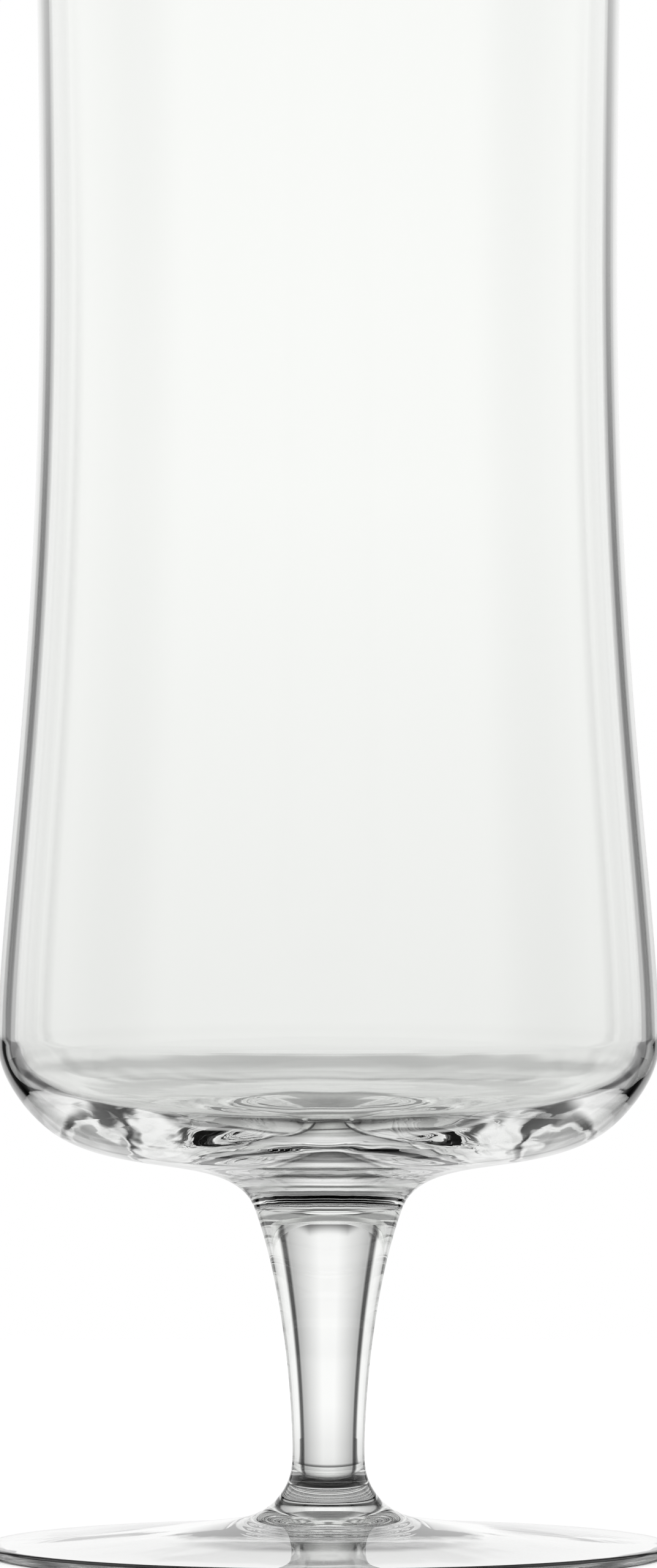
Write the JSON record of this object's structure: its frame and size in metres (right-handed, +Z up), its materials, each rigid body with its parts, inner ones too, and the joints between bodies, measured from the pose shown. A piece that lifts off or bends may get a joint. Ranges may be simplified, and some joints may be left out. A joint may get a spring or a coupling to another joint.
{
  "type": "pilsner glass",
  "caption": "Tall stemmed beer glass of clear glass: a waisted bowl with a heavy base, a short solid stem and a round foot.",
  "frame": {"origin": "middle of the ring that the foot rests on, on the table plane", "axes": "+Z up along the axis of the glass, out of its rim; the glass is the same all round"},
  "size_m": [0.0726, 0.0726, 0.19],
  "materials": {
    "clear_glass": "colourless fire-polished glass"
  },
  "bodies": {
    "root": {"foot": "clear_glass", "stem": "clear_glass", "bowl": "clear_glass"}
  },
  "joints": []
}
